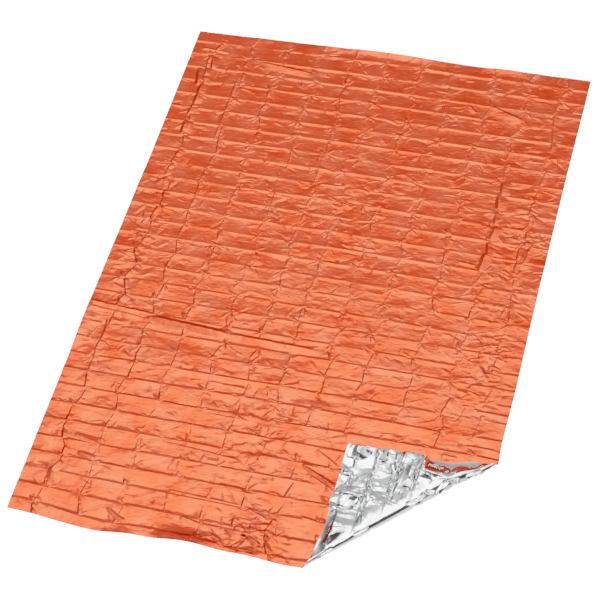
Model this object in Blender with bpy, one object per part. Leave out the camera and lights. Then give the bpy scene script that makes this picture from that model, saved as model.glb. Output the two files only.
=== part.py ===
"""Emergency foil blanket, opened out from its pocket pack and laid down, near right corner turned over.

It is one sheet of metallised film, orange on one side and silver on the other. The pack's folds have
left it with a brick pattern of creases: 32 ridges across, 11 along. Everything else is the slack of a
thin film that has been handled: a wavy outline, a few higher folds, an edge that lifts, and the soft
roll where the corner turns over.

Units are metres, +Z up. +X runs across the sheet and +Y along it, away from the turned corner. The
sheet lies on z = 0, and the origin is the centre of its outline on that surface.
"""
import math

import bmesh
import bpy
from mathutils import Vector

# The sheet as it lies. A cut sheet of 1.42 x 2.13 m loses about 1 percent to its creases.
SHEET_WIDTH = 1.412
SHEET_LENGTH = 2.100
FILM_THICKNESS = 0.0015

# Creases across the sheet, evenly spaced from the far edge: the pack's long folds.
CROSS_CREASES = 32
CROSS_PITCH = 0.065
FIRST_CROSS_CREASE = 0.0493
CROSS_HEIGHT = 0.0034
CROSS_FOOT = 0.016

# How far those creases have shifted towards the near edge, at the left, in the middle and at the right.
DRIFT_REACH = 0.60
CROSS_DRIFT = (
    # y,    left,   middle, right
    (-1.050, 0.000, 0.000, 0.000),
    (-1.010, -0.003, 0.020, 0.018),
    (-0.880, 0.004, 0.017, 0.020),
    (-0.750, 0.013, 0.017, 0.021),
    (-0.620, 0.009, 0.014, 0.016),
    (-0.490, 0.008, 0.009, 0.012),
    (-0.360, 0.009, 0.009, 0.010),
    (-0.230, 0.010, 0.012, 0.018),
    (-0.100, 0.008, 0.012, 0.019),
    (0.150, 0.008, 0.011, 0.018),
    (0.350, 0.008, 0.009, 0.015),
    (0.480, 0.008, 0.005, 0.011),
    (0.610, 0.006, 0.003, 0.008),
    (0.740, 0.002, 0.000, 0.006),
    (0.870, 0.001, -0.001, 0.004),
    (1.050, 0.000, 0.000, 0.000),
)

# Creases along the sheet. "tall" is where a crease stands up by itself, from one distance along to
# another; elsewhere, and all along where both are 0.00, it only shows where it meets a crease across.
LONG_CREASES = (
    # across   height  foot    tall from  tall to
    (-0.6165, 0.0050, 0.026, 1.05, -1.05),
    (-0.4942, 0.0032, 0.022, 1.05, -0.75),
    (-0.3729, 0.0024, 0.050, 0.00, 0.00),
    (-0.2347, 0.0026, 0.050, 0.00, 0.00),
    (-0.1183, 0.0022, 0.050, 0.00, 0.00),
    (-0.0070, 0.0030, 0.048, -0.40, -1.05),
    (0.1203, 0.0024, 0.050, 0.00, 0.00),
    (0.2396, 0.0024, 0.055, 0.00, 0.00),
    (0.3848, 0.0026, 0.055, 0.00, 0.00),
    (0.5121, 0.0060, 0.026, 0.58, 0.08),
    (0.6284, 0.0034, 0.035, 0.60, -0.30),
)

# Higher folds and wrinkles, each a straight ridge between two points.
FOLDS = (
    # x start, y start, x end,  y end,  height, half width
    (-0.706, -0.230, -0.480, -0.248, 0.0060, 0.022),
    (-0.480, -0.248, -0.225, -0.272, 0.0080, 0.024),
    (-0.225, -0.272, 0.060, -0.280, 0.0070, 0.024),
    (0.090, -0.920, 0.130, -1.050, 0.0090, 0.030),
    (-0.050, -1.000, 0.010, -0.960, 0.0080, 0.030),
    (0.130, -0.710, 0.250, -0.770, 0.0060, 0.024),
    (0.540, 0.560, 0.670, 0.360, 0.0060, 0.030),
    (0.560, 0.180, 0.670, 0.060, 0.0060, 0.030),
    (0.560, -0.240, 0.650, -0.300, 0.0070, 0.030),
    (-0.610, -0.880, -0.500, -0.915, 0.0065, 0.028),
)

# Places where the film stands clear of the surface, each a smooth mound.
LIFTS = (
    # x,      y,      reach x, reach y, height
    (-0.135, -1.065, 0.130, 0.075, 0.0180),
    (-0.340, -1.065, 0.075, 0.050, 0.0070),
    (-0.020, 1.060, 0.300, 0.040, 0.0060),
    (0.400, 1.060, 0.120, 0.040, 0.0040),
    (-0.706, -0.320, 0.060, 0.160, 0.0060),
    (0.706, 0.120, 0.060, 0.120, 0.0050),
    (0.060, -0.990, 0.090, 0.110, 0.0060),
)

# How far each edge strays outward from the straight cut: the place along the edge, then the shift.
FAR_EDGE = ((-0.706, -0.006), (-0.24, 0.001), (-0.02, 0.005), (0.33, -0.002), (0.42, 0.001),
            (0.706, 0.001))
NEAR_EDGE = ((-0.706, -0.004), (-0.41, 0.018), (-0.27, 0.008), (-0.13, 0.008), (0.03, 0.009),
             (0.18, 0.018), (0.30, 0.008), (0.40, 0.002), (0.51, 0.011), (0.706, 0.014))
LEFT_EDGE = ((-1.05, -0.001), (-0.50, 0.000), (-0.20, 0.002), (0.26, -0.001), (0.45, -0.003),
             (1.05, -0.002))
RIGHT_EDGE = ((-1.05, -0.006), (-0.90, 0.004), (-0.76, -0.010), (-0.65, 0.004), (-0.55, 0.002),
              (-0.31, 0.004), (0.00, 0.001), (0.53, 0.000), (1.05, 0.003))
EDGE_REACH = 0.16

# The turned corner. The fold line runs from the near edge to the right edge, and the film rolls over
# it, most loosely past its middle. The radii go by the share of the fold line's length, and the roll
# starts a share of its radius before the line.
FOLD_NEAR = (0.2205, -1.0640)
FOLD_FAR = (0.7060, -0.5820)
ROLL_RADII = ((0.00, 0.007), (0.20, 0.011), (0.35, 0.015), (0.47, 0.015), (0.60, 0.020), (0.70, 0.022),
              (0.80, 0.019), (0.92, 0.011), (1.00, 0.007))
ROLL_START = 0.3
ROLL_CUTS = 11
FLAP_REST = 0.0095
FLAP_SETTLE = 0.105
FLAP_RELIEF = 0.5
FLAP_SLIP = 0.003
FLAP_BULGES = (
    # x,     y,      reach,  height
    (0.400, -0.800, 0.110, 0.0110),
    (0.300, -0.930, 0.070, 0.0080),
    (0.560, -0.680, 0.070, 0.0060),
)

COLOUR_FILM = (0.72, 0.16, 0.055, 1.0)
ROUGHNESS_FILM = 0.34
METALLIC_FILM = 0.85


def clear_scene():
    for thing in list(bpy.data.objects):
        bpy.data.objects.remove(thing, do_unlink=True)


def ease(value):
    """0 below 0, 1 above 1, and an S-curve between."""
    value = min(max(value, 0.0), 1.0)
    return value * value * (3.0 - 2.0 * value)


def mound(distance):
    """1 at the middle, easing to 0 at a distance of 1."""
    return ease(1.0 - abs(distance))


def roof(distance, foot):
    """1 on a ridge, falling in a straight line to 0 at its foot."""
    return max(0.0, 1.0 - abs(distance) / foot)


def wander(a, b):
    """An uneven value between -1 and 1 that drifts slowly with a and b."""
    return (math.sin(a * 1.7 + 2.1 * math.sin(b * 0.9)) + math.sin(b * 2.3 + a * 0.6 + 1.3)) / 2.0


def along_table(table, place):
    """The value at a place, eased between a table's rows."""
    if place <= table[0][0]:
        return table[0][1]
    for (start, before), (end, after) in zip(table, table[1:]):
        if place <= end:
            return before + (after - before) * ease((place - start) / (end - start))
    return table[-1][1]


def straight_line(table, place):
    """The value at a place, in a straight line between a table's rows."""
    for (start, before), (end, after) in zip(table, table[1:]):
        if place <= end:
            return before + (after - before) * (place - start) / (end - start)
    return table[-1][1]


def drift(x, y):
    """How far a crease across that would lie at y has shifted towards the near edge."""
    left, middle, right = (straight_line([(row[0], row[place]) for row in CROSS_DRIFT], y)
                           for place in (1, 2, 3))
    side = right if x > 0.0 else left
    return middle + (side - middle) * abs(x) / DRIFT_REACH


def cross_crease_line(number):
    return SHEET_LENGTH / 2 - FIRST_CROSS_CREASE - number * CROSS_PITCH


def cross_ridge(x, y):
    """Height of the nearest crease across the sheet, and how close this point is to its ridge."""
    number = round((cross_crease_line(0) - y - drift(x, y)) / CROSS_PITCH)
    if not 0 <= number < CROSS_CREASES:
        return 0.0, 0.0
    line = cross_crease_line(number)
    closeness = roof(line - drift(x, line) - y, CROSS_FOOT)
    height = CROSS_HEIGHT * (1.0 + 0.45 * wander(number * 1.3, x * 7.0))
    return height * closeness, closeness


def long_ridge(x, y, closeness):
    """Height of the creases along the sheet at this point."""
    highest = 0.0
    for across, height, foot, tall_from, tall_to in LONG_CREASES:
        side = roof(x - across, foot)
        if side > 0.0:
            stands = 0.0
            if tall_from > tall_to:
                stands = ease((tall_from - y) / 0.1 + 0.5) * ease((y - tall_to) / 0.1 + 0.5)
            strength = max(stands, closeness) * (1.0 + 0.4 * wander(y * 9.0, across * 11.0))
            highest = max(highest, height * side * strength)
    return highest


def fold_ridges(x, y):
    """Height of the higher folds at this point, easing out past their ends."""
    highest = 0.0
    for x0, y0, x1, y1, height, half_width in FOLDS:
        length = math.hypot(x1 - x0, y1 - y0)
        along = ((x - x0) * (x1 - x0) + (y - y0) * (y1 - y0)) / length
        aside = ((x - x0) * (y1 - y0) - (y - y0) * (x1 - x0)) / length
        past_end = max(-along, along - length, 0.0)
        highest = max(highest, height * roof(aside, half_width) * mound(past_end / (2 * half_width)))
    return highest


def lifts(x, y):
    return sum(height * mound((x - cx) / reach_x) * mound((y - cy) / reach_y)
               for cx, cy, reach_x, reach_y, height in LIFTS)


def relief(x, y):
    """Height of the film's silver side over the surface at a point of the flat sheet."""
    across, closeness = cross_ridge(x, y)
    ridges = max(across, long_ridge(x, y, closeness), fold_ridges(x, y))
    return ridges + lifts(x, y)


def stray(x, y):
    """The same point moved by the wandering of the edges near it."""
    near_left = ease(1.0 - (x + SHEET_WIDTH / 2) / EDGE_REACH)
    near_right = ease(1.0 - (SHEET_WIDTH / 2 - x) / EDGE_REACH)
    near_far = ease(1.0 - (SHEET_LENGTH / 2 - y) / EDGE_REACH)
    near_near = ease(1.0 - (y + SHEET_LENGTH / 2) / EDGE_REACH)
    dx = near_right * along_table(RIGHT_EDGE, y) - near_left * along_table(LEFT_EDGE, y)
    dy = near_far * along_table(FAR_EDGE, x) - near_near * along_table(NEAR_EDGE, x)
    return x + dx, y + dy


def fold_frame():
    """Start of the fold line, its direction, the direction square to it towards the corner, its length."""
    start = Vector((*FOLD_NEAR, 0.0))
    line = Vector((*FOLD_FAR, 0.0)) - start
    direction = line.normalized()
    outward = Vector((direction.y, -direction.x, 0.0))
    return start, direction, outward, line.length


def roll_radius(share):
    """Radius of the roll at a share of the fold line's length."""
    return along_table(ROLL_RADII, share)


def flap_bulge(x, y):
    return sum(height * mound(math.hypot(x - cx, y - cy) / reach) for cx, cy, reach, height in FLAP_BULGES)


def turn_over(x, y, height):
    """Place a point of the strayed sheet in space, rolled over the fold line if it lies past it."""
    start, direction, outward, length = fold_frame()
    offset = Vector((x, y, 0.0)) - start
    along = offset.dot(direction)
    radius = roll_radius(along / length)
    past = offset.dot(outward) + ROLL_START * radius
    up = Vector((0.0, 0.0, 1.0))
    if past <= 0.0:
        return Vector((x, y, height))
    line_point = start + direction * along - outward * (ROLL_START * radius)
    half_turn = math.pi * radius
    if past < half_turn:
        angle = past / radius
        normal = up * math.cos(angle) - outward * math.sin(angle)
        centre = line_point + up * radius
        settled = height * (1.0 - (1.0 - FLAP_RELIEF) * past / half_turn)
        slip = direction * (FLAP_SLIP * ease(past / half_turn))
        return centre - normal * (radius - settled) + slip
    beyond = past - half_turn
    top = 2 * radius
    level = FLAP_REST + (top - FLAP_REST) * math.exp(-beyond / FLAP_SETTLE)
    point = line_point - outward * beyond + direction * FLAP_SLIP
    level += flap_bulge(point.x, point.y) * ease(beyond / 0.05)
    return point + up * (level - FLAP_RELIEF * height)


def cut(mesh, point, normal):
    """Score the flat mesh along a line; points within a millimetre of it are left as they are."""
    everything = list(mesh.verts) + list(mesh.edges) + list(mesh.faces)
    bmesh.ops.bisect_plane(mesh, geom=everything, dist=0.001, plane_co=point, plane_no=normal)


def flat_sheet():
    """The flat sheet with its creases shifted, cut along them, their feet and the lines of the roll."""
    mesh = bmesh.new()
    half_x, half_y = SHEET_WIDTH / 2, SHEET_LENGTH / 2
    corners = ((-half_x, -half_y), (half_x, -half_y), (half_x, half_y), (-half_x, half_y))
    mesh.faces.new([mesh.verts.new((x, y, 0.0)) for x, y in corners])
    for number in range(CROSS_CREASES):
        for shift in (-CROSS_FOOT, 0.0, CROSS_FOOT):
            cut(mesh, (0, cross_crease_line(number) + shift, 0), (0, 1, 0))
    for across, _, foot, _, _ in LONG_CREASES:
        cut(mesh, (across, 0, 0), (1, 0, 0))
        cut(mesh, (across + foot, 0, 0), (1, 0, 0))
    for vertex in mesh.verts:
        vertex.co.y -= drift(vertex.co.x, vertex.co.y)
    start, _, outward, _ = fold_frame()
    widest = max(radius for _, radius in ROLL_RADII)
    for step in range(ROLL_CUTS + 1):
        distance = widest * (math.pi * step / ROLL_CUTS - ROLL_START)
        cut(mesh, start + outward * distance, outward)
    return mesh


def film_material():
    material = bpy.data.materials.new("metallised_film")
    material.use_nodes = True
    shader = material.node_tree.nodes["Principled BSDF"]
    shader.inputs["Base Color"].default_value = COLOUR_FILM
    shader.inputs["Roughness"].default_value = ROUGHNESS_FILM
    shader.inputs["Metallic"].default_value = METALLIC_FILM
    return material


def build_sheet():
    mesh = flat_sheet()
    for vertex in mesh.verts:
        x, y, _ = vertex.co
        vertex.co = turn_over(*stray(x, y), relief(x, y))
    bmesh.ops.triangulate(mesh, faces=list(mesh.faces))
    low = [min(vertex.co[axis] for vertex in mesh.verts) for axis in range(3)]
    high = [max(vertex.co[axis] for vertex in mesh.verts) for axis in range(3)]
    middle = Vector(((low[0] + high[0]) / 2, (low[1] + high[1]) / 2, low[2]))
    for vertex in mesh.verts:
        vertex.co -= middle
    data = bpy.data.meshes.new("foil_sheet")
    mesh.to_mesh(data)
    mesh.free()
    data.shade_smooth()
    data.set_sharp_from_angle(angle=math.radians(25))
    sheet = bpy.data.objects.new("foil_sheet", data)
    bpy.context.collection.objects.link(sheet)
    film = sheet.modifiers.new("film_thickness", "SOLIDIFY")
    film.thickness = FILM_THICKNESS
    film.offset = 1.0
    data.materials.append(film_material())
    return sheet


clear_scene()
build_sheet()
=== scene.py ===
"""The looks of an emergency foil blanket: one creased sheet of metallised film, orange on its upper
side and silver on its other, laid out with its near right corner turned over.

Every crease, wrinkle and facet adds to a height on a fine grid over the flat sheet. The grid is laid in
space and rolled over the fold line, and a Decimate modifier turns it into foil's sharp flat facets.

Units are metres. x and y are places on the flat sheet, from its middle; the turned corner is at
high x and low y.
"""
import math

import bpy
import numpy as np
from mathutils import Matrix, Vector


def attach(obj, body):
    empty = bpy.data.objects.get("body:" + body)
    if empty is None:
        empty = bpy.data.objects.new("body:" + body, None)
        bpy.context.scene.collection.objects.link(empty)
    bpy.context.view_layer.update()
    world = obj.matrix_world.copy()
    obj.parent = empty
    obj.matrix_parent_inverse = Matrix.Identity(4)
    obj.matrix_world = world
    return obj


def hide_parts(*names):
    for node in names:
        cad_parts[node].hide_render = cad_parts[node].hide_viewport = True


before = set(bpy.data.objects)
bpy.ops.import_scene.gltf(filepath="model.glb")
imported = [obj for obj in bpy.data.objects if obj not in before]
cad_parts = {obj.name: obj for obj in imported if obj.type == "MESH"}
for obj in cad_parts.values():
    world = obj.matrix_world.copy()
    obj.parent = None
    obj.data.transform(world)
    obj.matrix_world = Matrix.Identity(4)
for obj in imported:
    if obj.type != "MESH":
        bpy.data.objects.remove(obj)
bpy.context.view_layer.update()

# The sheet as it lies, and the middle of its outline, which is the frame's origin.
SHEET_WIDTH = 1.412
SHEET_LENGTH = 2.1
HALF_X = SHEET_WIDTH / 2
HALF_Y = SHEET_LENGTH / 2
SHEET_MIDDLE = (0.001, -0.0065)
FILM_THICKNESS = 0.0004

# The fine grid: its step, and in steps the least gap to the sheet's ends. The triangles left on each side,
# the degrees from which an edge is sharp, and the bend at which it is fully worn.
GRID_STEP = 0.0025
GRID_END_GAP = 0.3
FACES_PER_SIDE = 98000
SHARP_FROM = 6.0
WORN_BEND = 0.45

# Creases across the sheet, evenly spaced from the far edge. Their section goes by y: the height, how far it
# slopes off to its near and far side, the share of the height left at the far foot, below zero for a
# furrow, and how far beyond that it runs out.
CROSS_CREASES = 32
CROSS_PITCH = 0.065
FIRST_CROSS_CREASE = 0.0493
CROSS_SECTIONS = (
    # y, height, near, far, foot, tail
    (-1.05, 0.002, 0.045, 0.0085, -0.15, 0.01),
    (-0.55, 0.0019, 0.04, 0.0085, -0.2, 0.01),
    (-0.35, 0.0011, 0.018, 0.008, -0.35, 0.01),
    (-0.15, 0.001, 0.012, 0.008, -0.3, 0.012),
    (0.1, 0.0013, 0.01, 0.0085, 0.3, 0.035),
    (0.45, 0.0014, 0.0095, 0.0085, 0.4, 0.045),
    (1.05, 0.0014, 0.0095, 0.0085, 0.45, 0.045),
)

# How a crease across varies: the ranges of its strength and of its slopes' reach, how much its strength
# wavers and at what places, and how far its crossings stray.
CREASE_STRENGTH = (0.6, 1.4)
CREASE_REACH = (0.8, 1.25)
CREASE_WAVER = 0.22
WAVER_PLACES = np.arange(-0.72, 0.73, 0.022)
CROSSING_STRAY = 0.001

# How far the creases across have shifted towards the near edge: in the middle and DRIFT_REACH to its
# left and right, and on to DRIFT_PAST times that. DRIFT_MOST is more than any of them.
DRIFT_REACH = 0.6
DRIFT_PAST = 1.2
DRIFT_MOST = 0.025
CROSS_DRIFT = (
    # y, left, middle, right
    (1.05, 0.0, 0.0, 0.0),
    (0.87, 0.001, -0.001, 0.004),
    (0.74, 0.002, 0.0, 0.006),
    (0.61, 0.006, 0.003, 0.008),
    (0.48, 0.008, 0.005, 0.011),
    (0.35, 0.008, 0.009, 0.015),
    (0.15, 0.008, 0.011, 0.018),
    (-0.1, 0.008, 0.012, 0.019),
    (-0.23, 0.01, 0.012, 0.018),
    (-0.36, 0.009, 0.009, 0.01),
    (-0.49, 0.008, 0.009, 0.012),
    (-0.62, 0.009, 0.014, 0.016),
    (-0.75, 0.013, 0.017, 0.021),
    (-0.88, 0.004, 0.017, 0.02),
    (-1.01, -0.003, 0.02, 0.018),
    (-1.05, 0.0, 0.0, 0.0),
)

# Creases along the sheet. A segment between two creases across strays by "jog", to one side and the
# other in turn, and "whole" is the share of the segments that run from crease to crease.
LONG_CREASES = (
    # across, height, reach, jog, whole
    (-0.6165, 0.003, 0.0085, 0.008, 1.0),
    (-0.4942, 0.002, 0.006, 0.006, 1.0),
    (-0.3729, 0.0015, 0.0065, 0.006, 0.6),
    (-0.2347, 0.0013, 0.0065, 0.007, 0.5),
    (-0.1183, 0.0015, 0.006, 0.004, 0.8),
    (-0.007, 0.0015, 0.0065, 0.007, 0.7),
    (0.1203, 0.0014, 0.006, 0.006, 0.6),
    (0.2396, 0.0013, 0.006, 0.006, 0.5),
    (0.3848, 0.0015, 0.006, 0.007, 0.6),
    (0.5121, 0.0017, 0.008, 0.008, 0.8),
    (0.6284, 0.0018, 0.0075, 0.008, 0.7),
)

# Reach of those creases' slopes to the right and left, as shares of "reach", and as shares of "jog" how
# far a segment goes by turns and how far it strays by chance.
LONG_REACH_RIGHT = (1.8, 3.2)
LONG_REACH_LEFT = (0.6, 1.0)
ZIGZAG = 0.7
SEGMENT_STRAY = 0.4

# A whole segment bends once. Any other is a stub that starts just past the far crossing, and some have a
# second one at the near crossing.
BEND_PLACE = (0.3, 0.7)
BEND_STRENGTH = (0.6, 1.2)
STUB_LENGTH = (0.3, 0.75)
STUB_PAST = 0.006
SECOND_STUBS = 0.6
SECOND_LENGTH = 0.35
SECOND_STRENGTH = 0.8

# Wrinkles at crossings, loose ones and the flap's: the ranges of their length (half of it on the flap), of
# their height and of their slopes' reach.
STAR_WRINKLE = ((0.012, 0.04), (0.001, 0.0026), (0.004, 0.008))
LOOSE_WRINKLE = ((0.015, 0.06), (0.0005, 0.0014), (0.004, 0.012))
FLAP_WRINKLE = ((0.008, 0.036), (0.0016, 0.0056), (0.004, 0.012))

# At a crossing: the crumple's reach and strength, the mean number of wrinkles, and their angle.
STAR_REACH = (0.034, 0.024)
STAR_STRENGTH = (0.1, 1.8)
STAR_WRINKLES = 3.4
STAR_ANGLE = (0.25, 1.3)

# Loose wrinkles: how many, the shares of places that get one, of those that lie across and of those that
# stand up, how far those across turn, and how many more and how much higher they are where crumpled.
LOOSE_WRINKLES = 1900
LOOSE_PLACES = 0.25
LOOSE_ACROSS = 0.55
WRINKLE_TURN = 0.35
LOOSE_RIDGES = 0.6
CRUMPLED_MORE = 0.5
CRUMPLED_HIGHER = 0.6

# Unevenness, as rows of height and of cell in x and y. The last two are for crumpled places and crossings.
SWELLS = ((0.0008, 0.125, 0.065), (0.0003, 0.06, 0.04))
BROAD_FACETS = ((0.0007, 0.11, 0.05),)
FINE_FACETS = ((0.00031, 0.04, 0.02), (0.00014, 0.019, 0.01))
CRUMPLE_FACETS = ((0.0009, 0.034, 0.03), (0.00035, 0.015, 0.014))
STAR_FACETS = ((0.0008, 0.013, 0.009), (0.001, 0.021, 0.014))

# How high swells and broad facets are, by y, and fine ones, which are higher where it is crumpled.
BROAD_PLACES = (-0.4, 0.6)
BROAD_SHARES = (1.0, 0.62)
ROUGH_PLACES = (-1.05, -0.4, 0.0, 1.05)
ROUGH_SHARES = (2.0, 1.6, 0.8, 0.38)
CRUMPLED_ROUGH = 0.8

# The share of its height that a fold loses at its ends, and how bluntly a wrinkle does so.
END_LOSS = 0.75
WRINKLE_BLUNT = 2.0

# Folds that stand out one by one. Each slopes off by "far" to the left of its run, and by "near" to the
# right.
FOLDS = (
    # x start, y start, x end, y end, height, far, near
    (-0.706, -0.226, -0.48, -0.242, 0.0042, 0.009, 0.02),
    (-0.706, -0.247, -0.52, -0.26, 0.0026, 0.008, 0.016),
    (-0.5, -0.254, -0.225, -0.272, 0.007, 0.016, 0.02),
    (-0.225, -0.272, 0.06, -0.28, 0.005, 0.011, 0.022),
    (0.13, -0.71, 0.25, -0.77, 0.004, 0.012, 0.012),
    (-0.676, 0.965, -0.567, 0.955, 0.0026, 0.008, 0.014),
    (-0.45, 0.93, -0.25, 0.905, 0.0032, 0.01, 0.03),
    (0.32, 0.86, 0.35, 0.828, 0.0022, 0.008, 0.02),
    (0.395, 0.868, 0.515, 0.82, 0.0036, 0.01, 0.04),
    (0.487, 0.952, 0.55, 0.944, 0.002, 0.007, 0.011),
    (0.488, 0.395, 0.53, 0.372, 0.0028, 0.009, 0.026),
    (0.075, 0.165, 0.155, 0.16, 0.0024, 0.007, 0.013),
    (0.428, 0.165, 0.488, 0.16, 0.0022, 0.007, 0.013),
    (0.568, -0.22, 0.618, -0.29, 0.003, 0.012, 0.028),
    (0.525, 0.075, 0.565, 0.07, 0.0034, 0.01, 0.04),
    (-0.239, -0.465, -0.11, -0.47, 0.0022, 0.008, 0.009),
    (-0.229, -0.583, -0.06, -0.588, 0.0022, 0.008, 0.009),
    (-0.318, -0.715, -0.06, -0.735, 0.0026, 0.009, 0.01),
    (0.605, -0.41, 0.704, -0.412, 0.0026, 0.009, 0.01),
    (0.605, -0.542, 0.704, -0.545, 0.0026, 0.009, 0.01),
    (0.527, -0.589, 0.587, -0.592, 0.0026, 0.009, 0.01),
    (-0.587, -0.745, -0.492, -0.765, 0.003, 0.018, 0.012),
    (-0.557, -0.808, -0.492, -0.818, 0.0028, 0.015, 0.01),
    (-0.615, -0.875, -0.605, -0.925, 0.004, 0.009, 0.022),
    (-0.408, -0.972, -0.338, -1.01, 0.003, 0.01, 0.01),
    (-0.239, -0.884, 0.0, -0.893, 0.002, 0.006, 0.007),
    (0.0, -0.893, 0.08, -0.925, 0.0026, 0.009, 0.012),
    # The deep wrinkle and the crumples by the near edge.
    (0.102, -0.915, 0.088, -0.955, 0.0036, 0.018, 0.007),
    (0.088, -0.955, 0.095, -0.995, 0.0046, 0.018, 0.008),
    (0.095, -0.995, 0.114, -1.03, 0.0046, 0.016, 0.008),
    (0.114, -1.03, 0.136, -1.062, 0.004, 0.016, 0.008),
    (-0.181, -0.963, -0.111, -0.977, 0.0034, 0.01, 0.02),
    (-0.111, -0.977, 0.058, -0.981, 0.0036, 0.011, 0.018),
    (-0.019, -0.928, -0.013, -0.981, 0.0026, 0.014, 0.008),
    (0.028, -0.983, 0.088, -1.013, 0.0034, 0.011, 0.014),
    (-0.019, -1.036, 0.095, -1.037, 0.004, 0.012, 0.012),
    (-0.07, -1.0, -0.02, -1.036, 0.0034, 0.014, 0.01),
    # Wrinkles that run in under the turned corner.
    (0.177, -0.894, 0.243, -0.904, 0.003, 0.008, 0.02),
    (0.159, -0.646, 0.237, -0.694, 0.0028, 0.008, 0.018),
    (0.128, -0.709, 0.194, -0.711, 0.003, 0.008, 0.018),
    (0.168, -0.744, 0.255, -0.788, 0.0036, 0.009, 0.018),
    (0.127, -0.776, 0.108, -0.847, 0.0024, 0.012, 0.007),
    # Deep strokes along the outer creases, steep towards the left edge.
    (-0.622, 0.925, -0.608, 0.865, 0.0042, 0.026, 0.011),
    (-0.654, 0.861, -0.639, 0.778, 0.004, 0.026, 0.012),
    (-0.624, 0.795, -0.622, 0.68, 0.0042, 0.024, 0.012),
    (-0.624, 0.69, -0.63, 0.64, 0.0036, 0.024, 0.011),
    (-0.63, 0.608, -0.626, 0.545, 0.004, 0.024, 0.012),
    (-0.504, 0.86, -0.506, 0.52, 0.002, 0.012, 0.007),
    (0.506, 0.537, 0.511, 0.47, 0.004, 0.03, 0.011),
    (0.503, 0.474, 0.512, 0.408, 0.0046, 0.03, 0.013),
    (0.507, 0.398, 0.515, 0.34, 0.0042, 0.028, 0.012),
    (0.52, 0.336, 0.512, 0.272, 0.005, 0.03, 0.015),
    (0.51, 0.266, 0.518, 0.206, 0.004, 0.028, 0.011),
    (0.511, 0.222, 0.503, 0.136, 0.0046, 0.028, 0.014),
    (0.618, 0.86, 0.636, 0.707, 0.0026, 0.016, 0.008),
    (0.618, 0.452, 0.641, 0.358, 0.0026, 0.016, 0.008),
    (0.614, 0.274, 0.616, 0.146, 0.0026, 0.016, 0.008),
    (0.629, 0.043, 0.64, -0.058, 0.0026, 0.016, 0.008),
    (0.497, 0.326, 0.563, 0.264, 0.0026, 0.02, 0.008),
    (0.47, 0.385, 0.509, 0.399, 0.0022, 0.008, 0.016),
)

# Places where the film stands off the floor, most of them at its edges.
LIFTS = (
    # x, y, reach x, reach y, height
    (-0.135, -1.065, 0.13, 0.075, 0.018),
    (-0.34, -1.065, 0.075, 0.05, 0.007),
    (-0.02, 1.06, 0.3, 0.04, 0.006),
    (0.4, 1.06, 0.12, 0.04, 0.004),
    (-0.706, -0.32, 0.06, 0.16, 0.006),
    (0.706, 0.12, 0.06, 0.12, 0.005),
    (0.06, -0.99, 0.09, 0.11, 0.006),
)

# Where the film is crumpled more than elsewhere.
CRUMPLED = (
    # x, y, reach x, reach y, strength
    (0.61, 0.25, 0.15, 0.7, 1.0),
    (0.59, -0.3, 0.13, 0.25, 1.0),
    (-0.01, -0.62, 0.15, 0.3, 1.4),
    (0.05, -0.98, 0.2, 0.15, 1.8),
    (-0.62, 0.1, 0.1, 1.0, 1.0),
    (-0.05, 0.3, 0.4, 0.25, 0.7),
)

# How far each edge wanders outwards, by the place along it, and how far in that reaches.
FAR_EDGE = (
    (-0.706, -0.006), (-0.24, 0.001), (-0.02, 0.005), (0.33, -0.002), (0.42, 0.001), (0.706, 0.001))
NEAR_EDGE = (
    (-0.706, -0.004), (-0.41, 0.018), (-0.27, 0.008), (-0.13, 0.008), (0.03, 0.009), (0.18, 0.018),
    (0.3, 0.008), (0.4, 0.002), (0.51, 0.011), (0.706, 0.014))
LEFT_EDGE = (
    (-1.05, -0.001), (-0.5, 0.0), (-0.2, 0.002), (0.26, -0.001), (0.45, -0.003), (1.05, -0.002))
RIGHT_EDGE = (
    (-1.05, -0.006), (-0.9, 0.004), (-0.76, -0.01), (-0.65, 0.004), (-0.55, 0.002), (-0.31, 0.004),
    (0.0, 0.001), (0.53, 0.0), (1.05, 0.003))
EDGE_REACH = 0.16

# The film lies on the floor at its low points, about this far below its mean.
BASE_LEVEL = 0.0016

# The turned corner: the ends of its fold line, and the roll's radius by the share of the way along that.
FOLD_NEAR = (0.2205, -1.064)
FOLD_FAR = (0.706, -0.582)
ROLL_RADII = (
    (0.0, 0.007), (0.2, 0.011), (0.35, 0.015), (0.47, 0.015), (0.6, 0.02), (0.7, 0.022),
    (0.8, 0.019), (0.92, 0.011), (1.0, 0.007))

# How far the roll stands out past the fold line, by the share along it, and how far from it that reaches.
ROLL_SWING = ((0.0, 0.0), (0.78, 0.0), (0.93, 0.01), (1.0, 0.006))
SWING_ON_SHEET = 0.05
SWING_ON_FLAP = 0.06

# The film goes round the roll in flat strips: the share of the way round, and the degrees turned. The
# strips' edges wander by ROLL_STRAY, in cells of ROLL_STRAY_CELL.
ROLL_TURN = (
    (0.0, 0), (0.08, 25), (0.18, 35), (0.23, 75), (0.38, 84), (0.43, 119), (0.6, 126), (0.63, 144),
    (0.82, 153), (0.86, 166), (0.96, 170), (1.0, 178))
ROLL_STRAY = 0.035
ROLL_STRAY_CELL = 0.055

# How much of the creases' height is left round the roll, by the share of the way round.
ROLL_CALM = ((0.0, 1.0), (0.15, 0.15), (0.8, 0.15), (1.0, 0.4))

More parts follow.
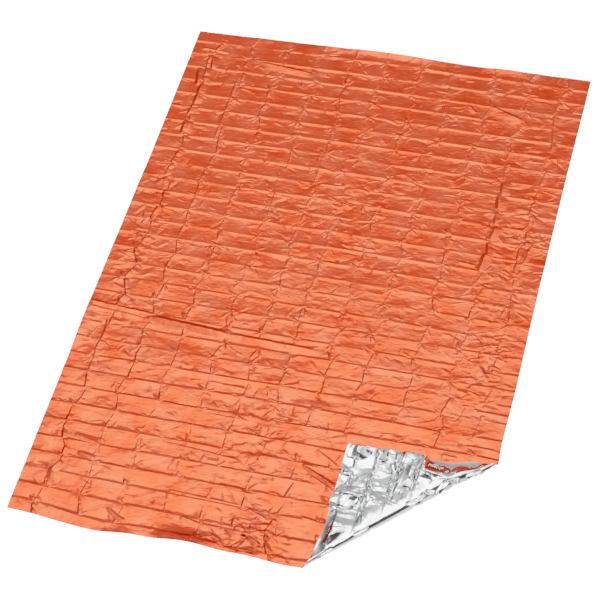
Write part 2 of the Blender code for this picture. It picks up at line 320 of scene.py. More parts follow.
# Crumples pinched into the roll, steep and short.
ROLL_CRUMPLES = (
    # share, round, share, round, height, half width
    (0.09, 0.7, 0.15, 0.8, 0.0022, 0.006),
    (0.27, 0.8, 0.33, 0.68, 0.0024, 0.006),
    (0.54, 0.84, 0.575, 0.66, 0.004, 0.0075),
    (0.585, 0.6, 0.62, 0.8, 0.005, 0.0085),
    (0.64, 0.82, 0.665, 0.62, 0.0044, 0.008),
    (0.69, 0.58, 0.735, 0.82, 0.0054, 0.009),
    (0.75, 0.84, 0.79, 0.64, 0.0044, 0.0075),
    (0.84, 0.6, 0.9, 0.8, 0.0036, 0.007),
)

# From the roll the flap sinks to FLAP_REST at its edges, by the share of its width to the power
# FLAP_BEND, and up to FLAP_BEND_ENDS more at the ends of the fold line.
FLAP_REST = 0.012
FLAP_BEND = 1.7
FLAP_BEND_ENDS = 0.3
FLAP_LEAST_WIDTH = 0.012

# The flap's slip along the fold line, its least clearance over the sheet's crests, how much higher the
# sheet's creases are on it, and how far on from the roll those and its facets are full, and its folds.
FLAP_SLIP = 0.003
FLAP_CLEARANCE = 0.0022
FLAP_CREASES = 1.6
FLAP_ONSET = 0.06
FOLD_ONSET = 0.03

# Stretches of the flap's edges that drop steeply onto the sheet: from and to along the edge, over what
# length the drop sets in, its width, and how far the edge swings out in x and y. Then the least width
# of a drop, and the facets that dent it.
NEAR_EDGE_DROP = (0.24, 0.465, 0.03, 0.03, (0.0, 0.0))
RIGHT_EDGE_DROP = (-0.828, -0.59, 0.012, 0.066, (0.0, 0.004))
LEAST_DROP = 0.001
DROP_DENTS = ((0.0034, 0.034, 0.03),)

# Facets of the flap. "warp" is how far their edges wander.
FLAP_FACETS = (
    # height, cell x, cell y, warp
    (0.01, 0.061, 0.065, 0.1),
    (0.0012, 0.024, 0.027, 0.25),
    (0.0004, 0.013, 0.011, 0.38),
)

# Folds of the flap, in the columns of FOLDS, at places on the sheet before it turned over. On the silver
# side the valley sinks, and the pack's narrow creases (FLAP_LINES) and the other folds stand up.
FLAP_VALLEY = (0.64, -1.06, 0.636, -0.86, 0.014, 0.11, 0.066)
FLAP_LINES = (
    (0.706, -1.018, 0.61, -1.011, 0.0052, 0.0068, 0.0064),
    (0.606, -1.016, 0.52, -1.008, 0.004, 0.0062, 0.0056),
    (0.706, -0.966, 0.61, -0.957, 0.0064, 0.0078, 0.0074),
    (0.604, -0.964, 0.5, -0.952, 0.0052, 0.007, 0.0066),
    (0.496, -0.96, 0.4, -0.944, 0.004, 0.0062, 0.0058),
    (0.706, -0.914, 0.64, -0.906, 0.005, 0.0068, 0.0064),
    (0.634, -0.912, 0.53, -0.898, 0.0058, 0.0072, 0.007),
    (0.7, -0.838, 0.6, -0.846, 0.0052, 0.0068, 0.0064),
    (0.512, -1.05, 0.516, -0.93, 0.0032, 0.006, 0.006),
    (0.592, -1.05, 0.57, -0.9, 0.0032, 0.006, 0.0065),
)
FLAP_FOLDS = (
    (0.645, -0.84, 0.65, -0.7, 0.014, 0.03, 0.062),
    (0.31, -1.022, 0.455, -1.02, 0.017, 0.05, 0.03),
    (0.65, -1.012, 0.706, -1.008, 0.013, 0.03, 0.042),
    (0.55, -0.965, 0.65, -0.968, 0.009, 0.012, 0.05),
    (0.545, -0.885, 0.64, -0.88, 0.007, 0.035, 0.014),
    (0.64, -1.05, 0.64, -0.82, 0.005, 0.014, 0.03),
    (0.44, -1.05, 0.48, -0.98, 0.008, 0.012, 0.024),
    (0.5, -1.03, 0.52, -0.96, 0.006, 0.02, 0.014),
    (0.47, -1.062, 0.464, -1.004, 0.0095, 0.0175, 0.036),
    (0.606, -1.062, 0.6, -1.016, 0.008, 0.015, 0.03),
    (0.655, -0.94, 0.706, -0.942, 0.005, 0.006, 0.02),
    (0.655, -0.895, 0.706, -0.89, 0.007, 0.05, 0.01),
)

# Small wrinkles of the flap, up and down by turns: how many, and where.
FLAP_WRINKLES = 64
FLAP_WRINKLES_X = (0.5, 0.7)
FLAP_WRINKLES_Y = (-1.04, -0.72)

# The film's two sides: what they reflect where the tint is deep, where it is light, on rubbed creases and
# seen from low down; their roughness where glossy and where dull; how deep their ripples and crinkles are.
ORANGE = (
    # deep, light, worn and rim, then gloss, dull, ripple and crinkle
    (0.96, 0.061, 0.026, 1.0), (1.0, 0.092, 0.046, 1.0), (1.0, 0.16, 0.09, 1.0), (1.0, 0.38, 0.25, 1.0),
    0.1, 0.16, 0.0006, 0.0003)
SILVER = (
    (0.83, 0.84, 0.86, 1.0), (0.89, 0.9, 0.92, 1.0), (0.66, 0.62, 0.59, 1.0), (1.0, 1.0, 1.0, 1.0),
    0.05, 0.09, 0.0003, 0.0003)

# The film's patterns: their cells a metre, or across and along the sheet, and where they go from nothing
# to all. A crease keeps at least LEAST_PATCH of its wear, and hides at most MOST_RUBBED of the tint.
CLOUDS, CLOUD_SPAN = 11.0, (0.3, 0.7)
PATCHES, PATCH_SPAN = 70.0, (0.35, 0.65)
SCUFFS, SCUFF_SPAN = (25.0, 260.0), (0.35, 0.75)
RIPPLES = (42.0, 100.0)
CRINKLES = 45.0
LEAST_PATCH = 0.15
MOST_RUBBED = 0.4

# The camera: where it stands, the azimuth, elevation and roll of its view in degrees, and its lens.
CAMERA_PLACE = (1.442, -4.23, 5.404)
CAMERA_TURN = (19.65, 50.86, -6.45)
CAMERA_LENS = 129.8

# The floor: half its side, how far it lies below the film, and its glow. Past it the camera sees a backdrop.
FLOOR_HALF = 30.0
FLOOR_DROP = 0.0005
FLOOR_GLOW = 3.6
BACKDROP_LIGHT = 6.0

# Light from the surroundings, by the degrees up from the horizon FAR_WAY and over to the opposite one.
FAR_WAY = (-0.4, 0.9165, 0.0)
SKY_LIGHT = 4.6
SKY = (
    (0, 0.6), (15, 0.66), (24, 0.9), (31, 1.13), (37, 1.22), (43, 1.27), (45, 1.31), (47, 1.4),
    (49, 1.66), (51, 2.2), (53, 2.95), (55, 3.65), (58, 4.25), (62, 4.5), (70, 4.6), (85, 4.6),
    (92, 3.9), (97, 1.4), (102, 0.3), (108, 0.16), (120, 0.12), (129, 0.6), (140, 1.5),
    (165, 2.6), (180, 3.4))

# Share of that light that is left towards the sides, from -1 for full left to 1 for full right of FAR_WAY.
SIDE_LIGHT = (
    (-1.0, 0.6), (-0.86, 0.52), (-0.76, 0.26), (-0.5, 0.28), (-0.32, 0.48), (-0.2, 0.84),
    (-0.1, 1.0), (0.0, 1.0), (0.08, 0.93), (0.16, 0.82), (0.32, 0.74), (0.5, 0.6),
    (0.7, 0.42), (0.77, 0.42), (0.86, 0.55), (1.0, 0.6))

# The light that shows as white, and points of light and shown value below it.
TONE_WHITE = 4.6
TONE_CURVE = (
    (0.015, 0.005), (0.03, 0.02), (0.06, 0.056), (0.1, 0.102), (0.2, 0.204), (0.34, 0.33),
    (0.6, 0.43), (0.95, 0.527), (1.23, 0.597), (1.47, 0.658), (1.86, 0.723), (2.77, 0.855),
    (3.32, 0.913), (4.0, 0.965))

# Lattices of random values start this many cells off.
LATTICE_START = 50.0

chance = np.random.default_rng(20)
draw = chance.uniform


# --- helpers ---

def ease(value):
    value = np.clip(value, 0.0, 1.0)
    return value * value * (3.0 - 2.0 * value)


def mound(distance):
    return ease(1.0 - np.abs(distance))


def along_table(table, place):
    """Values at places, eased between a table's rows."""
    starts = np.array([row[0] for row in table])
    values = np.array([row[1] for row in table])
    after = np.clip(np.searchsorted(starts, place), 1, len(starts) - 1)
    share = (place - starts[after - 1]) / (starts[after] - starts[after - 1])
    return values[after - 1] + (values[after] - values[after - 1]) * ease(share)


# --- the flat grid ---

def grid_places():
    """Grid lines over the flat sheet. Lines across fall on the creases across."""
    across = np.linspace(-HALF_X, HALF_X, round(SHEET_WIDTH / GRID_STEP) + 1)
    first = HALF_Y - FIRST_CROSS_CREASE
    lowest = math.ceil((-HALF_Y - first) / GRID_STEP + GRID_END_GAP)
    highest = math.floor((HALF_Y - first) / GRID_STEP - GRID_END_GAP)
    along = np.concatenate([[-HALF_Y], first + np.arange(lowest, highest + 1) * GRID_STEP, [HALF_Y]])
    return across, along


def drift(x, y):
    """How far a crease across that would lie at y has shifted towards the near edge."""
    lines = [row[0] for row in reversed(CROSS_DRIFT)]
    left, middle, right = (
        np.interp(y, lines, [row[part] for row in reversed(CROSS_DRIFT)]) for part in (1, 2, 3))
    to_left = np.clip(-x / DRIFT_REACH, 0.0, DRIFT_PAST)
    to_right = np.clip(x / DRIFT_REACH, 0.0, DRIFT_PAST)
    return middle + (left - middle) * to_left + (right - middle) * to_right


XS, YS = grid_places()
X, Y = np.meshgrid(XS, YS)
Y = Y - drift(X, Y)


def cells(places):
    """The cell of each place, counted from the lowest, and the share of the way through it."""
    whole = np.floor(places).astype(int)
    return whole - whole.min(), places - whole


def uneven(cell_x, cell_y):
    """Smooth unevenness between -1 and 1, random at the corners of its cells."""
    column, share_x = cells(X / cell_x + LATTICE_START)
    row, share_y = cells(Y / cell_y + LATTICE_START)
    values = draw(-1.0, 1.0, (row.max() + 2, column.max() + 2))
    share_x, share_y = ease(share_x), ease(share_y)
    low = values[row, column] * (1 - share_x) + values[row, column + 1] * share_x
    high = values[row + 1, column] * (1 - share_x) + values[row + 1, column + 1] * share_x
    return low * (1 - share_y) + high * share_y


def pushed(places, cell_x, cell_y, warp):
    """Places counted in cells, pushed about by unevenness wider and narrower than a cell."""
    wider = uneven(cell_x * 1.3, cell_y * 1.3)
    narrower = uneven(cell_x * 0.6, cell_y * 0.6)
    return places + LATTICE_START + warp * wider + 0.5 * warp * narrower


def facets(cell_x, cell_y, warp=0.38):
    """Unevenness between -1 and 1 made of flat triangles that meet in sharp edges."""
    u = pushed(X / cell_x, cell_x, cell_y, warp)
    v = pushed(Y / cell_y, cell_x, cell_y, warp)
    (column, fu), (row, fv) = cells(u), cells(v)
    corners = (row.max() + 2, column.max() + 2)
    values = draw(-1.0, 1.0, corners)
    leaning = chance.random(corners) < 0.5
    a, b = values[row, column], values[row, column + 1]
    c, d = values[row + 1, column], values[row + 1, column + 1]
    rising = np.where(fu > fv, a + (b - a) * fu + (d - b) * fv, a + (c - a) * fv + (d - c) * fu)
    falling = np.where(fu + fv < 1, a + (b - a) * fu + (c - a) * fv,
                       d + (b - d) * (1 - fv) + (c - d) * (1 - fu))
    return np.where(leaning[row, column], rising, falling)


def layers(kind, rows):
    """Unevenness of one kind, added up over rows of height and cell."""
    return sum(height * kind(cell_x, cell_y) for height, cell_x, cell_y in rows)


def window(low_x, high_x, low_y, high_y):
    """The grid's rows and columns that a box on the sheet can touch."""
    columns = slice(np.searchsorted(XS, low_x), np.searchsorted(XS, high_x, "right"))
    rows = slice(np.searchsorted(YS, low_y - DRIFT_MOST), np.searchsorted(YS, high_y + DRIFT_MOST, "right"))
    return rows, columns


def add_fold(heights, x0, y0, x1, y1, height, far, near, blunt=6.0, hipped=False):
    """Raise a roof along the line between two points. It runs out at its ends, round or in flat hips."""
    reach = 1.2 * max(far, near)
    rows, columns = window(
        min(x0, x1) - reach, max(x0, x1) + reach, min(y0, y1) - reach, max(y0, y1) + reach)
    x, y = X[rows, columns], Y[rows, columns]
    length = max(math.hypot(x1 - x0, y1 - y0), 1e-6)
    along = ((x - x0) * (x1 - x0) + (y - y0) * (y1 - y0)) / length
    aside = ((y - y0) * (x1 - x0) - (x - x0) * (y1 - y0)) / length
    share = np.clip(along / length, 0.0, 1.0)
    past_end = np.maximum(np.maximum(-along, along - length), 0.0)
    swell = 1.0 - np.abs(2.0 * share - 1.0) ** blunt * END_LOSS
    side = np.where(aside > 0.0, aside / far, -aside / near)
    past_end = past_end / max(far, near)
    distance = side + past_end if hipped else np.hypot(side, past_end)
    raised = height * swell * np.maximum(1.0 - distance, 0.0)
    heights[rows, columns] = np.maximum(heights[rows, columns], raised)


# --- creases and wrinkles ---

def crossings():
    """How far each crossing strays in x and in y, by rows for the creases across."""
    lines = CROSS_CREASES + 2
    jogs = np.array([jog for _, _, _, jog, _ in LONG_CREASES])
    stray_x = chance.normal(0.0, 1.0, (lines, len(LONG_CREASES))) * jogs
    turn = chance.choice((-1.0, 1.0), len(LONG_CREASES))
    stray_x += ZIGZAG * jogs * turn * np.where(np.arange(lines) % 2, 1.0, -1.0)[:, None]
    stray_y = chance.normal(0.0, CROSSING_STRAY, (lines, len(LONG_CREASES) + 2))
    return stray_x, stray_y


def cross_line(number):
    """Place along the sheet of a crease across, counted from the far one, before it shifts."""
    return HALF_Y - FIRST_CROSS_CREASE - number * CROSS_PITCH


def cross_creases(stray_y):
    """Height of the creases across, which is below zero in their furrows."""
    heights = np.zeros_like(X)
    centres = [-HALF_X] + [row[0] for row in LONG_CREASES] + [HALF_X]
    brick_middles = [(a + b) / 2 for a, b in zip(centres, centres[1:])]
    bricks = len(brick_middles)
    for number in range(CROSS_CREASES):
        middle = cross_line(number)
        height, near, far, foot, tail = (
            float(along_table([(row[0], row[part]) for row in CROSS_SECTIONS], np.array([middle]))[0])
            for part in range(1, len(CROSS_SECTIONS[0])))
        margin = CREASE_REACH[1] + 0.05
        rows, _ = window(-HALF_X, HALF_X, middle - near * margin, middle + far * margin + tail)
        line = middle - drift(XS, middle) + np.interp(XS, centres, stray_y[number])
        strength = np.interp(XS, brick_middles, draw(*CREASE_STRENGTH, bricks))
        waver = np.interp(XS, WAVER_PLACES, draw(-1, 1, len(WAVER_PLACES)))
        strength *= 1.0 + CREASE_WAVER * waver
        far = far * np.interp(XS, brick_middles, draw(*CREASE_REACH, bricks))
        near = near * np.interp(XS, brick_middles, draw(*CREASE_REACH, bricks))
        away = Y[rows] - line[None, :]
        near_side = 1.0 + away / near
        far_side = 1.0 - (1.0 - foot) * away / far
        beyond = foot * (1.0 - (away - far) / tail)
        section = np.where(away < 0.0, np.maximum(near_side, 0.0), np.where(away < far, far_side, beyond))
        section = np.where(away > far + tail, 0.0, section)
        raised = height * strength[None, :] * section
        heights[rows] = np.where(raised > 0.0, np.maximum(heights[rows], raised), heights[rows] + raised)
    return heights


def add_long_creases(heights, stray_x):
    """Raise the creases along the sheet, one segment at a time from the far end to the near one."""
    for place, (across, height, reach, jog, whole) in enumerate(LONG_CREASES):
        for number in range(-1, CROSS_CREASES):
            top, bottom = (cross_line(end) - drift(across, cross_line(end)) for end in (number, number + 1))
            step = chance.normal(0.0, SEGMENT_STRAY * jog)
            x0 = across + stray_x[number + 1, place] + step
            x1 = across + stray_x[number + 2, place] + step
            strength = height * draw(*CREASE_STRENGTH)
            right = reach * draw(*LONG_REACH_RIGHT)
            left = reach * draw(*LONG_REACH_LEFT)
            if chance.random() < whole:
                bend = draw(*BEND_PLACE)
                xb = x0 + (x1 - x0) * bend + chance.normal(0.0, SEGMENT_STRAY * jog)
                yb = top + (bottom - top) * bend
                add_fold(heights, x0, top, xb, yb, strength, right, left)
                add_fold(heights, xb, yb, x1, bottom, strength * draw(*BEND_STRENGTH), right, left)
                continue
            share = draw(*STUB_LENGTH)
            add_fold(heights, x0, top + STUB_PAST, x0 + (x1 - x0) * share, top - CROSS_PITCH * share,
                     strength, right, left, blunt=WRINKLE_BLUNT)
            if chance.random() < SECOND_STUBS:
                add_fold(heights, x1 + 0.4 * (x0 - x1), bottom + CROSS_PITCH * SECOND_LENGTH,
                         x1, bottom - STUB_PAST, strength * SECOND_STRENGTH, right, left,
                         blunt=WRINKLE_BLUNT)


def add_crossing_stars(heights, stray_x, stray_y):
    """Raise short wrinkles where two creases cross, and return the height of the crumples there."""
    reach_x, reach_y = STAR_REACH
    lengths, highs, slopes = STAR_WRINKLE
    crumpled = np.zeros_like(heights)
    for place, (across, *_) in enumerate(LONG_CREASES):
        for number in range(CROSS_CREASES):
            x = across + stray_x[number + 1, place]
            y = cross_line(number) - drift(across, cross_line(number)) + stray_y[number, place + 1]
            rows, columns = window(x - reach_x, x + reach_x, y - reach_y, y + reach_y)
            near = mound(np.hypot((X[rows, columns] - x) / reach_x, (Y[rows, columns] - y) / reach_y))
            crumpled[rows, columns] += draw(*STAR_STRENGTH) * near
            for _ in range(chance.poisson(STAR_WRINKLES)):
                length = draw(*lengths)
                angle = draw(*STAR_ANGLE) * chance.choice((-1, 1)) + math.pi * chance.integers(0, 2)
                x1, y1 = x + length * math.cos(angle), y + length * math.sin(angle)
                add_fold(heights, x, y, x1, y1, draw(*highs), draw(*slopes), draw(*slopes),
                         blunt=WRINKLE_BLUNT)
    return crumpled * layers(facets, STAR_FACETS)


def crumple_strength(x, y):
    """How crumpled the film is at places on the sheet."""
    return sum(strength * mound((x - cx) / reach_x) * mound((y - cy) / reach_y)
               for cx, cy, reach_x, reach_y, strength in CRUMPLED)


def add_loose_wrinkles(ridges, valleys):
    """Wrinkles anywhere, more of them where the film is crumpled."""
    lengths, highs, slopes = LOOSE_WRINKLE
    made = 0
    while made < LOOSE_WRINKLES:
        x = draw(-HALF_X, HALF_X)
        y = draw(-HALF_Y, HALF_Y)
        strength = crumple_strength(x, y)
        if chance.random() > LOOSE_PLACES + CRUMPLED_MORE * strength:
            continue
        made += 1
        length = draw(*lengths)
        lies_across = chance.random() < LOOSE_ACROSS
        angle = chance.normal(0.0, WRINKLE_TURN) if lies_across else draw(0.0, math.pi)
        half_x, half_y = length / 2 * math.cos(angle), length / 2 * math.sin(angle)
        height = draw(*highs) * (1.0 + CRUMPLED_HIGHER * strength)
        heights = ridges if chance.random() < LOOSE_RIDGES else valleys
        add_fold(heights, x - half_x, y - half_y, x + half_x, y + half_y, height,
                 draw(*slopes), draw(*slopes), blunt=WRINKLE_BLUNT)


def relief():
    """Height of the film over the surface, on the flat grid."""
    stray_x, stray_y = crossings()
    crumpled = crumple_strength(X, Y)
    base = layers(uneven, SWELLS) + layers(facets, BROAD_FACETS)
    base *= np.interp(Y, BROAD_PLACES, BROAD_SHARES)
    rough = np.interp(Y, ROUGH_PLACES, ROUGH_SHARES) + CRUMPLED_ROUGH * crumpled
    for height, cell_x, cell_y in FINE_FACETS:
        base += height * rough * facets(cell_x, cell_y)
    base += sum(height * crumpled * facets(cell_x, cell_y) for height, cell_x, cell_y in CRUMPLE_FACETS)
    ridges = np.zeros_like(X)
    valleys = np.zeros_like(X)
    across = cross_creases(stray_y)
    add_long_creases(ridges, stray_x)
    base += add_crossing_stars(ridges, stray_x, stray_y)
    add_loose_wrinkles(ridges, valleys)
    for fold in FOLDS:
        add_fold(ridges, *fold)
    for cx, cy, reach_x, reach_y, height in LIFTS:
        base += height * mound((X - cx) / reach_x) * mound((Y - cy) / reach_y)
    creases = np.where(across > 0.0, np.maximum(across, ridges), across + ridges)
    return np.maximum(BASE_LEVEL + base + creases - valleys, 0.0)


# --- laying the film out in space ---

def stray_places():
    """The grid's places, moved by the wandering of the edges near them."""
    def wander(inside, edge, place):
        return ease(1.0 - inside / EDGE_REACH) * along_table(edge, place)

    dx = wander(HALF_X - X, RIGHT_EDGE, Y) - wander(X + HALF_X, LEFT_EDGE, Y)
    dy = wander(HALF_Y - Y, FAR_EDGE, X) - wander(Y + HALF_Y, NEAR_EDGE, X)
    return X + dx, Y + dy


def fold_places(x, y):
    """The fold line's start, direction, way out and length, and each place's way along it and past it."""
    start = np.array(FOLD_NEAR)
    line = np.array(FOLD_FAR) - start
    length = np.hypot(*line)
    direction = line / length
    outward = np.array([direction[1], -direction[0]])
    along = (x - start[0]) * direction[0] + (y - start[1]) * direction[1]
    past = (x - start[0]) * outward[0] + (y - start[1]) * outward[1]
    return start, direction, outward, length, along, past


def roll_section(places=401):
    """Section of a roll of unit length: shares of the way round, angles turned, and places out and up."""
    way = np.linspace(0.0, 1.0, places)
    shares = [row[0] for row in ROLL_TURN]
    turned = np.radians(np.interp(way, shares, [row[1] for row in ROLL_TURN]))
    step = way[1] - way[0]
    out = np.concatenate([[0.0], np.cumsum(np.cos((turned[1:] + turned[:-1]) / 2)) * step])
    up = np.concatenate([[0.0], np.cumsum(np.sin((turned[1:] + turned[:-1]) / 2)) * step])
    return way, turned, out, up


def covered(heights, joined_over=4, smoothed=8):
    """Height at which another layer lies on the film: its crests joined up."""
    for axis in (0, 1):
        for _ in range(joined_over):
            heights = np.maximum(heights, np.maximum(np.roll(heights, 1, axis), np.roll(heights, -1, axis)))
    for axis in (0, 1):
        for _ in range(smoothed):
            heights = 0.5 * heights + 0.25 * (np.roll(heights, 1, axis) + np.roll(heights, -1, axis))
    return heights


def nearest(places, lines):
    """The number of the grid line nearest to each place."""
    numbers = np.interp(places, lines, np.arange(len(lines)))
    return np.clip(np.round(numbers).astype(int), 0, len(lines) - 1)


def roll_crumples(along, past, length, way_round):
    """Height of the crumples pinched into the roll."""
    highest = np.zeros_like(X)
    for share0, round0, share1, round1, height, half_width in ROLL_CRUMPLES:
        a0, a1 = share0 * length, share1 * length
        p0, p1 = round0 * way_round, round1 * way_round
        span = np.hypot(a1 - a0, p1 - p0)
        on = ((along - a0) * (a1 - a0) + (past - p0) * (p1 - p0)) / span
        aside = ((along - a0) * (p1 - p0) - (past - p0) * (a1 - a0)) / span
        past_end = np.maximum(np.maximum(-on, on - span), 0.0)
        highest = np.maximum(highest, height * (1.0 - np.hypot(aside, past_end) / half_width))
    return highest


def flap_relief(beyond):
    """Height of the flap's crumples and that of its narrow creases, by the way on from the roll."""
    crumples = sum(height * facets(cell_x, cell_y, warp) for height, cell_x, cell_y, warp in FLAP_FACETS)
    folded, sunk, lined = np.zeros_like(X), np.zeros_like(X), np.zeros_like(X)
    for heights, rows in ((folded, FLAP_FOLDS), (sunk, (FLAP_VALLEY,)), (lined, FLAP_LINES)):
        for row in rows:
            add_fold(heights, *row, hipped=True)
    halves, highs, slopes = FLAP_WRINKLE
    for number in range(FLAP_WRINKLES):
        x, y = draw(*FLAP_WRINKLES_X), draw(*FLAP_WRINKLES_Y)
        angle = chance.normal(0.0, WRINKLE_TURN) + math.pi / 2 * chance.integers(0, 2)
        half_x, half_y = draw(*halves) * np.array((math.cos(angle), math.sin(angle)))
        add_fold(sunk if number % 2 else folded, x - half_x, y - half_y, x + half_x, y + half_y,
                 draw(*highs), draw(*slopes), draw(*slopes), hipped=True)
    clear = ease(beyond / FOLD_ONSET)
    return ease(beyond / FLAP_ONSET) * crumples + (folded - sunk) * clear, lined * clear


def lay_out(x, y, heights):
    """Places in space for places on the sheet, rolled over the fold line where they lie past it."""
    start, direction, outward, length, along, past = fold_places(x, y)
    share = np.clip(along / length, 0.0, 1.0)
    radius = along_table(ROLL_RADII, share)
    way_round = math.pi * radius
    way, turned, unit_out, unit_up = roll_section()
    gone = past / way_round
    stray = ROLL_STRAY * uneven(ROLL_STRAY_CELL, ROLL_STRAY_CELL) * np.sin(np.clip(gone, 0.0, 1.0) * math.pi)
    gone = np.clip(gone + stray, 0.0, 1.0)
    angle = np.interp(gone, way, turned)
    beyond = np.maximum(past - way_round, 0.0)

    # The flap's own level.
    top = way_round * unit_up[-1]
    flap_width = np.maximum(length * np.minimum(share, 1.0 - share), FLAP_LEAST_WIDTH)
    bend = FLAP_BEND + FLAP_BEND_ENDS * np.abs(2.0 * share - 1.0)
    sunk = np.clip(beyond / flap_width, 0.0, 1.0) ** bend
    on_flap = past > way_round
    level = FLAP_REST + (top - FLAP_REST) * (1.0 - sunk)
    crumples, lines = flap_relief(beyond)
    level = level + np.where(on_flap, crumples, 0.0)

    # Flat, round the roll, and back over the sheet.
    out = np.where(past > 0.0, way_round * np.interp(gone, way, unit_out) - beyond, past)
    swing = along_table(ROLL_SWING, share) * ease(1.0 + past / SWING_ON_SHEET)
    out = out + swing * (1.0 - ease(beyond / SWING_ON_FLAP))
    up = np.where(past > 0.0, way_round * np.interp(gone, way, unit_up), 0.0)
    up = np.where(on_flap, level, up)

    # The creases stand up from the film.
    calm = np.where(past > 0.0, along_table(ROLL_CALM, gone), 1.0)
    calm = calm + (FLAP_CREASES - calm) * ease(beyond / FLAP_ONSET) * on_flap
    slip = FLAP_SLIP * ease(np.maximum(past, 0.0) / way_round)
    calmed = heights * calm + roll_crumples(along, past, length, way_round)
    out = out - calmed * np.sin(angle)
    px = start[0] + direction[0] * (along + slip) + outward[0] * out
    py = start[1] + direction[1] * (along + slip) + outward[1] * out
    pz = up + calmed * np.cos(angle)

    # The flap stays clear of the sheet, and parts of its edges drop onto it.
    lowest = covered(heights)[nearest(py + drift(px, py), YS), nearest(px, XS)] + FLAP_CLEARANCE
    dented = layers(facets, DROP_DENTS)
    pz = np.where(on_flap, np.maximum(pz, lowest) + lines, pz)
    for place, edge_distance, (first, last, onset, width, swing) in (
            (X, Y + HALF_Y, NEAR_EDGE_DROP), (Y, HALF_X - X, RIGHT_EDGE_DROP)):
        held = ease((place - first) / onset) * ease((last - place) / onset) * on_flap
        room = np.clip(edge_distance + beyond * math.sqrt(2.0), LEAST_DROP, width)
        drop = np.clip(1.0 - edge_distance / room, 0.0, 1.0) * held
        pz = pz + (lowest - pz) * drop + 4.0 * drop * (1.0 - drop) * dented
        px, py = px + swing[0] * drop, py + swing[1] * drop
    return np.stack([px - SHEET_MIDDLE[0], py - SHEET_MIDDLE[1], pz], -1)


def crease_wear(heights):
    """How worn the film is, from 0 to 1: most where its creases bend it sharply."""
    bend = np.zeros_like(heights)
    middle = heights[1:-1, 1:-1]
    around = heights[:-2, 1:-1] + heights[2:, 1:-1] + heights[1:-1, :-2] + heights[1:-1, 2:]
    bend[1:-1, 1:-1] = np.abs(around - 4.0 * middle) / GRID_STEP
    return np.clip(bend / WORN_BEND, 0.0, 1.0)


def grid_mesh(name, places, wear):
    """A mesh of quads over a grid of places, with the flat sheet's places as a map."""
    rows, columns = places.shape[:2]
    index = np.arange(rows * columns).reshape(rows, columns)
    corners = np.stack([index[:-1, :-1], index[:-1, 1:], index[1:, 1:], index[1:, :-1]], -1).reshape(-1, 4)
    data = bpy.data.meshes.new(name)
    data.vertices.add(rows * columns)
    data.vertices.foreach_set("co", places.astype(np.float32).ravel())
    data.loops.add(corners.size)
    data.loops.foreach_set("vertex_index", corners.astype(np.int32).ravel())
    data.polygons.add(len(corners))
    data.polygons.foreach_set("loop_start", np.arange(0, corners.size, 4, dtype=np.int32))
    data.update(calc_edges=True)
    flat = np.stack([X, Y], -1).reshape(-1, 2)[corners.ravel()]
    data.uv_layers.new(name="flat_sheet").data.foreach_set("uv", flat.astype(np.float32).ravel())
    worn = data.attributes.new("crease_wear", "FLOAT", "POINT")
    worn.data.foreach_set("value", wear.astype(np.float32).ravel())
    return data


def placed(name, data):
    """A new object in the scene."""
    thing = bpy.data.objects.new(name, data)
    bpy.context.scene.collection.objects.link(thing)
    return thing


def apply_modifiers(thing):
    depsgraph = bpy.context.evaluated_depsgraph_get()
    data = bpy.data.meshes.new_from_object(thing.evaluated_get(depsgraph))
    thing.modifiers.clear()
    thing.data = data


def make_film(materials):
    """The film as one solid piece, with one material on its upper side and the other below."""
    heights = relief()
    data = grid_mesh("foil_film", lay_out(*stray_places(), heights), crease_wear(heights))
    film = placed("foil_film", data)
    for material in materials:
        data.materials.append(material)
    facet = film.modifiers.new("facets", "DECIMATE")
    facet.ratio = FACES_PER_SIDE / (2 * len(data.polygons))
    apply_modifiers(film)
    shell = film.modifiers.new("thickness", "SOLIDIFY")
    shell.thickness = FILM_THICKNESS
    shell.offset = 1.0
    shell.material_offset = 1
    apply_modifiers(film)
    film.data.shade_smooth()
    film.data.set_sharp_from_angle(angle=math.radians(SHARP_FROM))
    return film


# --- materials ---

def node(tree, kind, **settings):
    made = tree.nodes.new(kind)
    for key, value in settings.items():
        setattr(made, key, value)
    return made


def mixed_colour(tree, factor, plain, other):
    """A colour that goes from one to the other with a node's output."""
    mix = node(tree, "ShaderNodeMix", data_type="RGBA")
    tree.links.new(factor, mix.inputs["Factor"])
    for socket, value in (("A", plain), ("B", other)):
        if isinstance(value, tuple):
            mix.inputs[socket].default_value = value
        else:
            tree.links.new(value, mix.inputs[socket])
    return mix.outputs["Result"]


def noise_on(tree, places, scale, detail, kind="FBM"):
    noise = node(tree, "ShaderNodeTexNoise", noise_dimensions="2D", noise_type=kind)
    noise.inputs["Scale"].default_value = scale
    noise.inputs["Detail"].default_value = detail
    tree.links.new(places, noise.inputs["Vector"])
    return noise.outputs["Fac"]


def stretched(tree, places, scale_x, scale_y):
    mapping = node(tree, "ShaderNodeMapping")
    mapping.inputs["Scale"].default_value = (scale_x, scale_y, 1.0)
    tree.links.new(places, mapping.inputs["Vector"])
    return mapping.outputs["Vector"]


def ranged(tree, value, low, high, to_low, to_high):
    span = node(tree, "ShaderNodeMapRange")
    for socket, number in (("From Min", low), ("From Max", high), ("To Min", to_low), ("To Max", to_high)):
        span.inputs[socket].default_value = number
    tree.links.new(value, span.inputs["Value"])
    return span.outputs["Result"]


def joined(tree, operation, first, second):
    made = node(tree, "ShaderNodeMath", operation=operation)
    tree.links.new(first, made.inputs[0])
    tree.links.new(second, made.inputs[1])
    return made.outputs["Value"]


def bumped(tree, height, distance, normal=None):
    """The film's normal, tilted by a pattern."""
    bump = node(tree, "ShaderNodeBump")
    bump.inputs["Distance"].default_value = distance
    tree.links.new(height, bump.inputs["Height"])
    if normal:
        tree.links.new(normal, bump.inputs["Normal"])
    return bump.outputs["Normal"]


